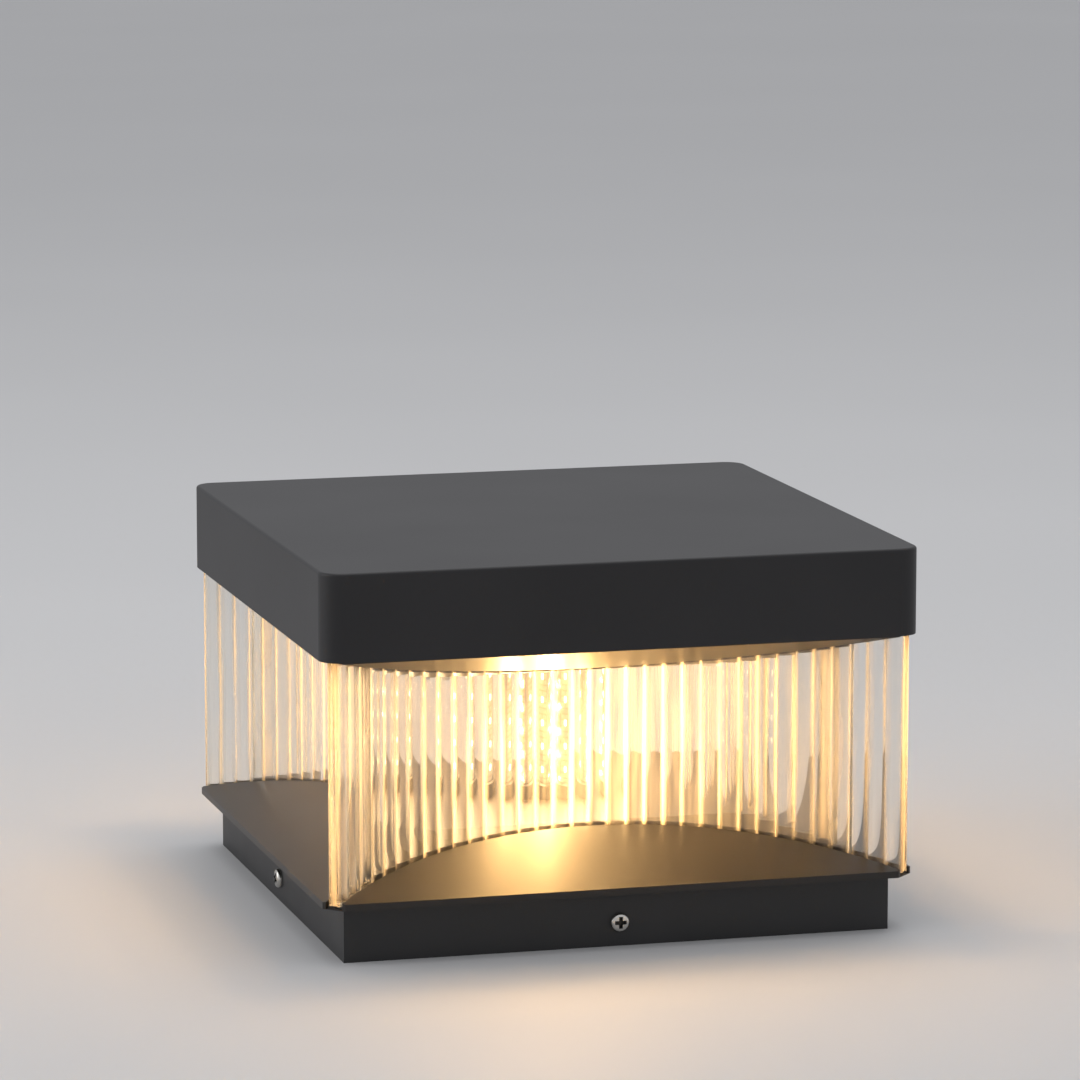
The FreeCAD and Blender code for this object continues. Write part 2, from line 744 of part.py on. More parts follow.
# ---------------------------------------------------------------- screws, nuts and the rod
def make_screw(label, length, ratio="1", recessed=False):
    """Pan head screw, head up, with its seat at the origin; the hidden ones have plain heads."""
    screw = new_body(label)
    outline = new_sketch(screw, "XZ_Plane")
    end = "-(%s)" % length
    shank, head = "screw_radius * " + ratio, "pan_head_radius * " + ratio
    top = "pan_head_height * " + ratio
    crown = ((head, top),)
    if recessed:
        crown = ((head, top + " * crown_rim_ratio"), (head + " * crown_flat_ratio", top))
    polygon(outline, (("0", end), (shank, end), (shank, "0"), (head, "0")) + crown + (("0", top),))
    revolve(screw, outline)
    if recessed:
        for wide, deep in (("recess_span / 2", "recess_width / 2"),
                           ("recess_width / 2", "recess_span / 2")):
            slot = new_sketch(screw, height="pan_head_height - recess_depth")
            rectangle(slot, "-" + wide, wide, "-" + deep, deep)
            pocket(screw, slot, "recess_depth")
    return screw


def make_nut():
    nut = new_body("square_nut")
    outline = new_sketch(nut)
    square(outline, "nut_side")
    circle(outline, "0", "0", "screw_hole_radius")
    pad(nut, outline, "nut_thickness")
    return nut


def make_side_screws():
    """One screw in the middle of each plinth side, with a square nut behind the slotted tab."""
    nut = make_nut()
    screws, nuts = [], []
    for name, turn in (("front", 0), ("right", 90), ("rear", 180), ("left", 270)):
        about = FreeCAD.Rotation(Vector(0, 0, 1), turn)
        lying = about.multiply(FreeCAD.Rotation(Vector(1, 0, 0), 90))
        screw = make_screw("side_screw_" + name, "side_screw_length", recessed=True)
        seat = Vector(0, -value("plinth_side / 2 + screw_gap"), value("side_screw_z"))
        screw.Placement = FreeCAD.Placement(about.multVec(seat), lying)
        screws.append(screw)
        back = Vector(0, -value("nut_face - nut_thickness"), value("side_screw_z"))
        nuts.append(FreeCAD.Placement(about.multVec(back), lying))
    return screws + [group("side_nuts", nut, nuts)]


def make_rod():
    """Hollow threaded rod through soffit, column and deck, with a nut and washer at each end."""
    rod = new_body("tie_rod")
    outline = new_sketch(rod, height="rod_low_z")
    circle(outline, "0", "0", "rod_radius")
    circle(outline, "0", "0", "rod_bore_radius")
    pad(rod, outline, "rod_high_z - rod_low_z")
    nut = new_body("rod_nut")
    outline = new_sketch(nut)
    hexagon(outline, "rod_nut_flats")
    circle(outline, "0", "0", "rod_hole_radius")
    pad(nut, outline, "rod_nut_height")
    washer = new_body("rod_washer")
    outline = new_sketch(washer)
    circle(outline, "0", "0", "rod_washer_radius")
    circle(outline, "0", "0", "rod_hole_radius")
    pad(washer, outline, "rod_washer_thickness")
    low, high = value("deck_back_z"), value("soffit_back_z")
    thick, tall = value("rod_washer_thickness"), value("rod_nut_height")
    return [rod,
            group("rod_washers", washer, [at(0, 0, low - thick), at(0, 0, high)]),
            group("rod_nuts", nut, [at(0, 0, low - thick - tall), at(0, 0, high + thick)])]


# ---------------------------------------------------------------- lamp column
def make_column():
    column = new_body("led_column")
    outline = new_sketch(column, height="column_low_z")
    hexagon(outline, "column_flats")
    circle(outline, "0", "0", "rod_hole_radius")
    pad(column, outline, "column_high_z - column_low_z")
    return column


def make_column_cap(label, low, socket_z):
    """Round end cap with a hexagonal socket for the column and a hole for the rod."""
    cap = new_body(label)
    outline = new_sketch(cap, height=low)
    circle(outline, "0", "0", "column_cap_radius")
    circle(outline, "0", "0", "rod_hole_radius")
    pad(cap, outline, "column_cap_height")
    socket = new_sketch(cap, height=socket_z)
    hexagon(socket, "column_flats + 2 * column_gap")
    pocket(cap, socket, "column_cap_height - column_cap_floor")
    return cap


def make_lights():
    """Six narrow boards on the column's flats, each with a row of chips."""
    board = new_body("led_board")
    outline = new_sketch(board, height="board_low_z")
    rectangle(outline, "-board_width / 2", "board_width / 2",
              "-(column_flats / 2 + board_thickness)", "-column_flats / 2")
    pad(board, outline, "board_high_z - board_low_z")
    chip = new_body("led_chip")
    outline = new_sketch(chip, height="chip_first_z - chip_height / 2")
    face = "-(column_flats / 2 + board_thickness)"
    rectangle(outline, "-chip_width / 2", "chip_width / 2", face + " - chip_depth", face)
    pad(chip, outline, "chip_height")
    turns = [60 * k for k in range(6)]
    rows = [row * value("chip_pitch") for row in range(int(value("chip_count")))]
    up = Vector(0, 0, 1)
    return [group("led_boards", board, [at(0, 0, 0, up, turn) for turn in turns]),
            group("led_chips", chip, [at(0, 0, row, up, turn) for turn in turns for row in rows])]


# ---------------------------------------------------------------- driver under the deck
def corners_of(across, deep, middle="0"):
    """The four spots across and deep of a middle, as pairs of formulas."""
    return [(sx + "(%s)" % across, "%s %s (%s)" % (middle, sy, deep))
            for sx in ("", "-") for sy in ("+", "-")]


def make_driver_case():
    """Box open below, with an ear at each end that is screwed up to the deck's bosses."""
    case = new_body("driver_case")
    outline = new_sketch(case, height="driver_low_z")
    rectangle(outline, "-driver_length / 2", "driver_length / 2", "driver_front", "driver_back")
    pad(case, outline, "driver_height")
    room = new_sketch(case, height="driver_low_z")
    inner = "(driver_length / 2 - driver_wall)"
    rectangle(room, "-" + inner, inner, "driver_front + driver_wall", "driver_back - driver_wall")
    pocket(case, room, "driver_height - driver_wall")
    posts = new_sketch(case, height="driver_low_z")
    screws = new_sketch(case, height="driver_low_z")
    for across, deep in corners_of("post_x", "post_y", "driver_offset"):
        circle(posts, across, deep, "corner_post_radius")
        circle(screws, across, deep, "small_hole_radius")
    pad(case, posts, "driver_height")
    pocket(case, screws, "short_screw_length - lid_thickness + screw_tip_room")
    ears = new_sketch(case, height="ear_low_z")
    for left, right in (("driver_length / 2", "driver_length / 2 + ear_length"),
                        ("-(driver_length / 2 + ear_length)", "-driver_length / 2")):
        rectangle(ears, left, right, "ear_y - ear_width / 2", "ear_y + ear_width / 2")
    pad(case, ears, "ear_thickness")
    holes = new_sketch(case, height="ear_low_z")
    circle(holes, "ear_hole_x", "ear_y", "screw_hole_radius")
    circle(holes, "-ear_hole_x", "ear_y", "screw_hole_radius")
    pocket(case, holes, "ear_thickness")
    lead_hole = new_sketch(case, "XZ_Plane", "-driver_front")
    circle(lead_hole, "0", "lead_exit_z", "lead_radius + screw_gap")
    pocket(case, lead_hole, "driver_wall", upward=False)
    gland_hole = new_sketch(case, "YZ_Plane", "driver_length / 2")
    circle(gland_hole, "gland_y", "gland_z", "gland_thread_radius + screw_gap")
    pocket(case, gland_hole, "driver_wall", upward=False)
    return case


def make_driver_lid():
    """Flat lid with four stand-offs that carry the driver's board."""
    lid = new_body("driver_lid")
    outline = new_sketch(lid, height="lid_low_z")
    rectangle(outline, "-driver_length / 2", "driver_length / 2", "driver_front", "driver_back")
    for across, deep in corners_of("post_x", "post_y", "driver_offset"):
        circle(outline, across, deep, "small_hole_radius")
    pad(lid, outline, "lid_thickness")
    stands = new_sketch(lid, height="driver_low_z")
    for across, deep in corners_of("driver_board_length / 2 - 2 * stand_off_radius",
                                   "driver_board_width / 2 - 2 * stand_off_radius",
                                   "driver_offset"):
        circle(stands, across, deep, "stand_off_radius")
    pad(lid, stands, "board_stand_off")
    return lid


def make_block(label, length, width, low, height, middle="0"):
    """A plain block on the driver's board, with its middle at a place across."""
    block = new_body(label)
    outline = new_sketch(block, height=low)
    rectangle(outline, "%s - %s / 2" % (middle, length), "%s + %s / 2" % (middle, length),
              "driver_offset - %s / 2" % width, "driver_offset + %s / 2" % width)
    pad(block, outline, height)
    return block


def make_driver():
    case, lid = make_driver_case(), make_driver_lid()
    board = make_block("driver_board", "driver_board_length", "driver_board_width",
                       "board_z", "driver_board_thickness")
    transformer = make_block("driver_transformer", "transformer_side", "transformer_side",
                             "board_top_z", "transformer_height", "-terminal_offset / 2")
    terminal = make_block("terminal_block", "terminal_length", "terminal_width",
                          "board_top_z", "terminal_height", "terminal_offset")
    return [case, lid, board, transformer, terminal]


def make_gland():
    """Gland in the driver's end wall: body, seal ring and clamping nut on one level axis."""
    body = new_body("gland_body")
    outline = new_sketch(body)
    hexagon(outline, "gland_hex_flats")
    pad(body, outline, "gland_hex_height")
    thread = new_sketch(body, height="-(2 * driver_wall)")
    circle(thread, "0", "0", "gland_thread_radius")
    pad(body, thread, "2 * driver_wall + gland_hex_height + gland_thread_length")
    bore = new_sketch(body, height="-(2 * driver_wall)")
    circle(bore, "0", "0", "gland_bore_radius")
    pocket(body, bore, "2 * driver_wall + gland_hex_height + gland_thread_length")
    nut = new_body("gland_nut")
    outline = new_sketch(nut, "XZ_Plane")
    room, low = "(gland_thread_radius + screw_gap)", "(gland_hex_height + screw_gap)"
    high = "(%s + gland_nut_length)" % low
    polygon(outline, ((room, low), ("gland_nut_radius", low),
                      ("gland_nut_radius", high + " - gland_nut_floor"),
                      ("gland_bore_radius + gland_nut_floor", high), ("gland_bore_radius", high),
                      ("gland_bore_radius", high + " - gland_nut_floor"),
                      (room, high + " - gland_nut_floor")))
    revolve(nut, outline)
    seal = new_body("gland_seal")
    outline = new_sketch(seal, height=high + " - gland_nut_floor - gland_seal_length")
    circle(outline, "0", "0", "gland_thread_radius")
    circle(outline, "0", "0", "gland_bore_radius")
    pad(seal, outline, "gland_seal_length - screw_gap")
    lying = FreeCAD.Rotation(Vector(0, 1, 0), 90)
    wall = Vector(value("driver_length / 2"), value("gland_y"), value("gland_z"))
    pieces = [body, nut, seal]
    for piece in pieces:
        piece.Placement = FreeCAD.Placement(wall, lying)
    return pieces


def make_lead():
    """Lead out of the driver's front wall, round one bend and up inside the hollow rod."""
    bend, low = value("lead_bend_radius"), value("lead_exit_z")
    start = Vector(0, value("driver_front + driver_wall"), low)
    top = Vector(0, 0, value("column_high_z - lead_top_margin"))
    turn_in, turn_out = Vector(0, bend, low), Vector(0, 0, low + bend)
    inner = bend * (1 - math.sqrt(0.5))
    arc = Part.Arc(turn_in, Vector(0, inner, low + inner), turn_out).toShape()
    path = Part.Wire([Part.LineSegment(start, turn_in).toShape(), arc,
                      Part.LineSegment(turn_out, top).toShape()])
    end = Part.Wire([Part.Circle(start, Vector(0, -1, 0), value("lead_radius")).toShape()])
    made = doc.addObject("Part::Feature", "led_lead")
    made.Shape = path.makePipeShell([end], True, False)
    return made


def make_other_screws():
    """Groups of like screws: soffit, plinth, driver and lid from below, earth from above."""
    down = FreeCAD.Rotation(Vector(1, 0, 0), 180)
    spread, line = value("skirt_screw_spacing / 2"), value("skirt_screw_line")
    skirt_z, soffit_z = value("plinth_height - skirt_wall"), value("soffit_flat_z")
    ear_x, ear_y, ear_z = value("ear_hole_x"), value("ear_y"), value("ear_low_z")
    middle = value("driver_offset")
    post_x, post_y, lid_z = value("post_x"), value("post_y"), value("lid_low_z")
    offset = value("boss_offset")
    signs = (-1, 1)
    spots = {
        "soffit_screws": [Vector(sx * offset, sy * offset, soffit_z)
                          for sx in signs for sy in signs],
        "skirt_screws": [Vector(*spot, skirt_z) for sx in signs for sy in signs
                         for spot in ((sx * spread, sy * line), (sy * line, sx * spread))],
        "driver_screws": [Vector(sx * ear_x, ear_y, ear_z) for sx in signs],
        "lid_screws": [Vector(sx * post_x, middle + sy * post_y, lid_z)
                       for sx in signs for sy in signs],
    }
    short = make_screw("short_screw", "short_screw_length")
    templates = {
        "soffit_screws": make_screw("soffit_screw", "soffit_screw_length"),
        "skirt_screws": short,
        "driver_screws": short,
        "lid_screws": make_screw("lid_screw", "short_screw_length", "small_screw_ratio"),
    }
    groups = [group(label, templates[label], [FreeCAD.Placement(spot, down) for spot in places])
              for label, places in spots.items()]
    earth = make_screw("earth_screw", "plate_thickness")
    earth.Placement = at(value("earth_offset"), 0, value("plate_thickness"))
    return groups + [earth]


# ---------------------------------------------------------------- build and write
nodes = [make_top_cap()]
soffit_groove = groove_ring("soffit_groove_ring", value("groove_gap"),
                            value("tip_reach + (tip_rib_rise + groove_gap) * sqrt(2)"))
deck_groove = groove_ring("deck_groove_ring", value("groove_gap"), value("base_side"))
nodes.append(make_soffit(soffit_groove))
nodes.append(make_deck(deck_groove))
nodes.append(make_diffuser())
nodes += make_seals()
nodes.append(make_skirt())
nodes.append(make_plate())
nodes.append(make_grommet())
nodes += make_side_screws()
nodes += make_rod()
nodes.append(make_column())
nodes.append(make_column_cap("column_foot", "deck_flat_z", "deck_flat_z + column_cap_floor"))
nodes.append(make_column_cap("column_head", "soffit_flat_z - column_cap_height",
                             "soffit_flat_z - column_cap_height"))
nodes += make_lights()
nodes += make_driver()
nodes += make_gland()
nodes.append(make_lead())
nodes += make_other_screws()
doc.recompute()

for piece in doc.Objects:
    if "Invalid" in piece.State or "Error" in piece.State:
        raise ValueError("failed to build: " + piece.Label)
for node in nodes:
    if node.Shape.isNull() or not node.Shape.isValid():
        raise ValueError("no sound shape: " + node.Label)

os.makedirs("parts", exist_ok=True)
for node in nodes:
    node.Shape.exportStep("parts/" + node.Label + ".step")
    print("%-20s solids %2d  volume %10.1f" % (node.Label, len(node.Shape.Solids), node.Shape.Volume))
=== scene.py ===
# %% [markdown]
# # Dressing a deck post cap light
#
# This lesson takes the solids of a lamp that sits on a deck post and gives them their looks.
# The lamp is a black cast cap and a black hipped deck with a clear ribbed diffuser between them,
# and warm LEDs on an upright column glow through the ribs.
# The solids stay where they are: Blender adds materials, fine pieces, light and a camera.

# %% Load the solids and keep their box
import math

import bmesh
import bpy
from mathutils import Matrix, Vector


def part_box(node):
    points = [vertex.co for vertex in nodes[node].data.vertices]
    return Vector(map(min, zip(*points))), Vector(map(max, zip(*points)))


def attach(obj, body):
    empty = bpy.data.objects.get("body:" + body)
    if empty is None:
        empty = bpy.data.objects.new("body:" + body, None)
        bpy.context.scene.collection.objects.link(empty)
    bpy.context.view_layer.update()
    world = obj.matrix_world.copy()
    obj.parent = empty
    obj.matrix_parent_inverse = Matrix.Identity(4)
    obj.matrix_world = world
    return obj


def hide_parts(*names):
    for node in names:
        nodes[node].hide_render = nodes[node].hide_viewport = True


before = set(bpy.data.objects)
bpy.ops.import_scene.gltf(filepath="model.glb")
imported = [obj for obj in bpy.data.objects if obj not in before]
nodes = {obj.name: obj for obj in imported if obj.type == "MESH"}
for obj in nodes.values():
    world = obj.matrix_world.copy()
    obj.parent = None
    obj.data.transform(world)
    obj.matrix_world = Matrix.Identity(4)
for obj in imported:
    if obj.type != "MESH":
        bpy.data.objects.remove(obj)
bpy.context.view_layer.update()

MM = 0.001

# %% [markdown]
# ## Camera
#
# The camera stands where the photographer stood: a little to the left of the front, nine degrees
# above the ground and far away, with a long lens, which keeps the cap's edges nearly parallel.
# Its three axes follow from two angles, so the view can be checked by reading it.

# %% Place the camera
TURN = math.radians(-15.344)
RISE = math.radians(9.237)
DISTANCE = 2385.7 * MM
AIM_RIGHT = -1.82 * MM
AIM_UP = 147.1 * MM
LENS = 186.66

back = Vector((math.sin(TURN) * math.cos(RISE), -math.cos(TURN) * math.cos(RISE), math.sin(RISE)))
right = Vector((math.cos(TURN), math.sin(TURN), 0))
up = back.cross(right)
camera = bpy.data.objects.new("camera", bpy.data.cameras.new("camera"))
camera.data.lens = LENS
camera.data.clip_end = 60
stand = back * DISTANCE + right * AIM_RIGHT + up * AIM_UP
camera.matrix_world = Matrix.Translation(stand) @ Matrix((right, up, back)).transposed().to_4x4()
bpy.context.scene.collection.objects.link(camera)
bpy.context.scene.camera = camera
print("camera at", [round(value, 3) for value in stand])

# %% [markdown]
# ## Colours and nodes
#
# Colours are picked as sRGB hex codes, the way a paint chart gives them, but shaders work in linear
# light, so one function turns a code into linear values.
# A second small function adds any node, sets its values and links its inputs. Every material below
# is made with it, and reads as a short list of what the surface does.

# %% Helpers for materials
def linear(code):
    """Linear colour of an sRGB hex code such as #1E1E20."""
    parts = [int(code[start:start + 2], 16) / 255 for start in (1, 3, 5)]
    return [p / 12.92 if p <= 0.04045 else ((p + 0.055) / 1.055) ** 2.4 for p in parts] + [1.0]


def add(material, kind, settings=None, links=None):
    """A node with its settings (inputs or properties) and links (input name to an output)."""
    node = material.node_tree.nodes.new("ShaderNode" + kind)
    for name, value in (settings or {}).items():
        if isinstance(name, int) or name in node.inputs:
            node.inputs[name].default_value = value
        else:
            setattr(node, name, value)
    for name, output in (links or {}).items():
        material.node_tree.links.new(output, node.inputs[name])
    return node


def surface(name, settings):
    """A material named for its finish, its shader, and Object coordinates for its patterns."""
    material = bpy.data.materials.new(name)
    material.use_nodes = True
    shader = material.node_tree.nodes["Principled BSDF"]
    for key, value in settings.items():
        shader.inputs[key].default_value = value
    return material, shader, add(material, "TexCoord").outputs["Object"]


def dress(material, *names):
    """Give solids a finish without touching their meshes."""
    for name in names:
        solid = nodes[name]
        if not solid.material_slots:
            solid.data.materials.append(material)
        for place in solid.material_slots:
            place.material = material
    print(material.name, "on", ", ".join(names))


print("black paint in linear light:", [round(value, 4) for value in linear("#1E1E20")[:3]])

# %% [markdown]
# ## Grain in millimetres
#
# Most finishes need the same three things: a tone that wanders, a gloss that wanders with it, and a
# fine relief. This function ties them to noise whose sizes are in millimetres, because a grain that
# is twice too large makes the lamp look half its size.

# %% Give a shader its grain
def grain(material, shader, place, tones, gloss, patch, size, depth):
    """tones are two hex codes, gloss two roughnesses; patch, size and depth are in millimetres."""
    links = material.node_tree.links
    low, high = 0.2, 0.8
    broad = add(material, "TexNoise", {"Scale": 1 / (patch * MM), "Detail": 1.0}, {"Vector": place})
    fine = add(material, "TexNoise", {"Scale": 1 / (size * MM), "Detail": 2.0}, {"Vector": place})
    tone = add(material, "ValToRGB", {}, {"Fac": broad.outputs["Fac"]})
    for stop, position, code in zip(tone.color_ramp.elements, (low, high), tones):
        stop.position = position
        stop.color = linear(code)
    rough = add(material, "MapRange", {"From Min": low, "From Max": high,
                                       "To Min": gloss[0], "To Max": gloss[1]},
                {"Value": broad.outputs["Fac"]})
    bump = add(material, "Bump", {"Strength": 1.0, "Distance": depth * MM},
               {"Height": fine.outputs["Fac"]})
    links.new(tone.outputs["Color"], shader.inputs["Base Color"])
    links.new(rough.outputs["Result"], shader.inputs["Roughness"])
    links.new(bump.outputs["Normal"], shader.inputs["Normal"])


print("grain is ready")

# %% [markdown]
# ## Powder coat on the castings and the folded skirt
#
# The cap, the soffit, the deck and the plinth are aluminium under a baked polyester powder coat,
# glossiest on the deck, which throws the lit ribs back as a golden sheen.
# Powder melts into a skin with an orange-peel relief about a millimetre wide and a few hundredths
# high, so highlights look softly mottled. Dry dust makes broad patches a little paler and duller.
# The deck and the soffit carry the same black coat, but their tones are warmed brown as painted
# warm light from the LEDs.

# %% Powder coats
cast_coat, cast_shader, cast_place = surface(
    "powder coat on cast aluminium", {"IOR": 1.52, "Specular IOR Level": 0.4})
grain(cast_coat, cast_shader, cast_place, ("#1B1A1C", "#222123"), (0.46, 0.50), 60.0, 1.1, 0.03)
dress(cast_coat, "top_cap")

deck_coat_painted_warm, slope_shader, slope_place = surface(
    "semi-gloss powder coat on the deck with painted warm light", {"IOR": 1.52, "Specular IOR Level": 0.42})
# Painted warm light: the deck's brown tones stand in for the LEDs' golden glow on it.
grain(deck_coat_painted_warm, slope_shader, slope_place, ("#1F1B18", "#27221E"), (0.37, 0.41), 60.0, 0.9, 0.012)
dress(deck_coat_painted_warm, "base_deck")

soffit_coat_painted_warm, under_shader, under_place = surface(
    "powder coat on the soffit with painted warm light", {"IOR": 1.52, "Specular IOR Level": 0.5})
# Painted warm light: the soffit's brown tones stand in for the LEDs' golden glow on it.
grain(soffit_coat_painted_warm, under_shader, under_place, ("#211D1A", "#292420"), (0.44, 0.48), 60.0, 0.9, 0.012)
dress(soffit_coat_painted_warm, "soffit_plate")

sheet_coat, sheet_shader, sheet_place = surface(
    "powder coat on folded sheet", {"IOR": 1.52, "Specular IOR Level": 0.5})
grain(sheet_coat, sheet_shader, sheet_place, ("#1B1B1C", "#252425"), (0.44, 0.52), 30.0, 0.9, 0.02)
dress(sheet_coat, "plinth_skirt")

# %% [markdown]
# ## Clear acrylic diffuser
#
# The diffuser is one moulding in clear acrylic, index 1.49. Its ribs bend what is behind them into
# upright streaks, and the acrylic's own faint milkiness catches the warm light, most in the sharp
# valleys between the ribs. The ribs are set out round the centre of their bow, so the angle there,
# divided by one rib's share of it, tells how far a point is from a valley on any of the four sides.
# The two sizes below are those of the CAD's own bow: one rib's angle and the bow's centre.
# Real light passes through acrylic almost unweakened, but a path tracer treats clear refracting
# walls as opaque to direct light. The shader therefore lets shadow rays through at every surface,
# so the LEDs can light the deck, the cap's underside and the ground.

# %% Where the ribs are
RIB_TURN = math.radians(2.787)
BOW_CENTRE = 230.6 * MM

acrylic, acrylic_shader, acrylic_place = surface(
    "clear moulded acrylic",
    {"IOR": 1.49, "Transmission Weight": 1.0, "Base Color": linear("#FDFBF6")})
axes = add(acrylic, "SeparateXYZ", {}, {"Vector": acrylic_place}).outputs
width = add(acrylic, "Math", {"operation": "ABSOLUTE"}, {0: axes["X"]}).outputs["Value"]
depth = add(acrylic, "Math", {"operation": "ABSOLUTE"}, {0: axes["Y"]}).outputs["Value"]
far = add(acrylic, "Math", {"operation": "MAXIMUM"}, {0: width, 1: depth}).outputs["Value"]
near = add(acrylic, "Math", {"operation": "MINIMUM"}, {0: width, 1: depth}).outputs["Value"]
reach = add(acrylic, "Math", {"operation": "SUBTRACT", 0: BOW_CENTRE}, {1: far})
turn = add(acrylic, "Math", {"operation": "ARCTAN2"}, {0: near, 1: reach.outputs["Value"]})
count = add(acrylic, "Math", {"operation": "DIVIDE", 1: RIB_TURN}, {0: turn.outputs["Value"]})
from_valley = add(acrylic, "Math", {"operation": "PINGPONG", 1: 0.5}, {0: count.outputs["Value"]})
print("each rib takes", round(math.degrees(RIB_TURN), 3), "degrees of its bow")

# %% Acrylic
STREAK = 2.4 * MM
upright = add(acrylic, "Mapping", {"Scale": (1.0, 1.0, 0.05)}, {"Vector": acrylic_place})
streaks = add(acrylic, "TexNoise", {"Scale": 1 / STREAK, "Detail": 1.0},
              {"Vector": upright.outputs["Vector"]})
flow = add(acrylic, "TexNoise", {"Scale": 1 / (14 * MM), "Detail": 1.0}, {"Vector": acrylic_place})
flow_bump = add(acrylic, "Bump", {"Distance": 0.03 * MM}, {"Height": flow.outputs["Fac"]})
haze = add(acrylic, "MapRange", {"To Min": 0.02, "To Max": 0.07}, {"Value": flow.outputs["Fac"]})
edge_milk = add(acrylic, "MapRange",
                {"From Min": 0.02, "From Max": 0.20, "To Min": 0.42, "To Max": 0.05},
                {"Value": from_valley.outputs["Value"]})
streak_milk = add(acrylic, "MapRange",
                  {"From Min": 0.35, "From Max": 0.65, "To Min": 0.35, "To Max": 1.4},
                  {"Value": streaks.outputs["Fac"]})
share = add(acrylic, "Math", {"operation": "MULTIPLY"},
            {0: edge_milk.outputs["Result"], 1: streak_milk.outputs["Result"]})
milk = add(acrylic, "BsdfTranslucent", {"Color": linear("#FFF0D4")},
           {"Normal": flow_bump.outputs["Normal"]})
solid_part = add(acrylic, "MixShader", {}, {
    "Fac": share.outputs["Value"], 1: acrylic_shader.outputs["BSDF"], 2: milk.outputs["BSDF"]})
passing = add(acrylic, "BsdfTransparent", {"Color": linear("#DCD5C4")})
rays = add(acrylic, "LightPath")
lit = add(acrylic, "MixShader", {}, {"Fac": rays.outputs["Is Shadow Ray"],
                                     1: solid_part.outputs["Shader"], 2: passing.outputs["BSDF"]})
links = acrylic.node_tree.links
links.new(flow_bump.outputs["Normal"], acrylic_shader.inputs["Normal"])
links.new(haze.outputs["Result"], acrylic_shader.inputs["Roughness"])
links.new(lit.outputs["Shader"], acrylic.node_tree.nodes["Material Output"].inputs["Surface"])
dress(acrylic, "diffuser")

# %% [markdown]
# ## Metals
#
# Bare metals keep the shader's own index and are told apart by tint and gloss. Zinc plating is a
# bright, slightly blue silver; passivated yellow zinc drifts between straw and violet; stainless is
# warmer and polished; extruded aluminium carries fine lines along the extrusion; hot-dip zinc on
# the fixing plate grows flat crystals about seven millimetres across.

# %% Plated, stainless and extruded metals
zinc, zinc_shader, zinc_place = surface("bright zinc plating", {"Metallic": 1.0})
grain(zinc, zinc_shader, zinc_place, ("#AEB3B8", "#C9CCCE"), (0.24, 0.36), 6.0, 0.4, 0.008)
dress(zinc, "rod_washers", "rod_nuts", "side_nuts", "soffit_screws", "skirt_screws",
      "driver_screws", "lid_screws")

stainless, stainless_shader, stainless_place = surface(
    "polished stainless steel", {"Metallic": 1.0})
grain(stainless, stainless_shader, stainless_place,
      ("#C4C1BB", "#DAD7D1"), (0.16, 0.26), 3.0, 0.3, 0.004)

# Painted shade: the recess walls' dark tone stands in for the shadow inside the cross recess.
recess_painted_shade, recess_shade_shader, recess_shade_place = surface(
    "stainless recess wall with painted shade", {"Metallic": 1.0})
grain(recess_painted_shade, recess_shade_shader, recess_shade_place,
      ("#3B3936", "#4E4B47"), (0.5, 0.62), 2.0, 0.3, 0.01)

yellow_zinc, yellow_shader, yellow_place = surface("yellow passivated zinc", {"Metallic": 1.0})
grain(yellow_zinc, yellow_shader, yellow_place,
      ("#B99A5A", "#D8C27C"), (0.26, 0.38), 2.5, 0.3, 0.006)
dress(yellow_zinc, "earth_screw")

extruded, extruded_shader, extruded_place = surface("extruded aluminium", {"Metallic": 1.0})
along = add(extruded, "Mapping", {"Scale": (1.0, 1.0, 0.02)}, {"Vector": extruded_place})
grain(extruded, extruded_shader, along.outputs["Vector"],
      ("#A9ABAD", "#C5C7C8"), (0.28, 0.42), 1.5, 0.35, 0.01)
dress(extruded, "led_column")

# %% [markdown]
# ## Hot-dip zinc on the fixing plate
#
# Zinc freezes from scattered seeds, so each crystal has its own straight-sided patch and its own
# brightness. A Voronoi cell pattern is the same construction, and its random colour per cell gives
# the tone and the gloss of each crystal.

# %% Spangled plate
spangle, spangle_shader, spangle_place = surface("hot-dip zinc spangle", {"Metallic": 1.0})
crystal = add(spangle, "TexVoronoi", {"Scale": 1 / (7 * MM)}, {"Vector": spangle_place})
tint = add(spangle, "ValToRGB", {}, {"Fac": crystal.outputs["Color"]})
tint.color_ramp.elements[0].color = linear("#8F9498")
tint.color_ramp.elements[1].color = linear("#C3C7C9")
sheen = add(spangle, "MapRange", {"To Min": 0.3, "To Max": 0.55},
            {"Value": crystal.outputs["Color"]})
frost = add(spangle, "TexNoise", {"Scale": 1 / (0.6 * MM)}, {"Vector": spangle_place})
frost_bump = add(spangle, "Bump", {"Distance": 0.02 * MM}, {"Height": frost.outputs["Fac"]})
spangle.node_tree.links.new(tint.outputs["Color"], spangle_shader.inputs["Base Color"])
spangle.node_tree.links.new(sheen.outputs["Result"], spangle_shader.inputs["Roughness"])
spangle.node_tree.links.new(frost_bump.outputs["Normal"], spangle_shader.inputs["Normal"])
dress(spangle, "mounting_plate")

# %% [markdown]
# ## A thread without a million faces
#
# The hollow rod up the middle is threaded all the way, at one millimetre a turn. A thread is a ramp
# in height plus a turn round the axis, so height divided by the pitch, plus the angle as a share of
# a turn, repeats once per groove. A ping-pong of that sum is the groove's V shape, used as relief.

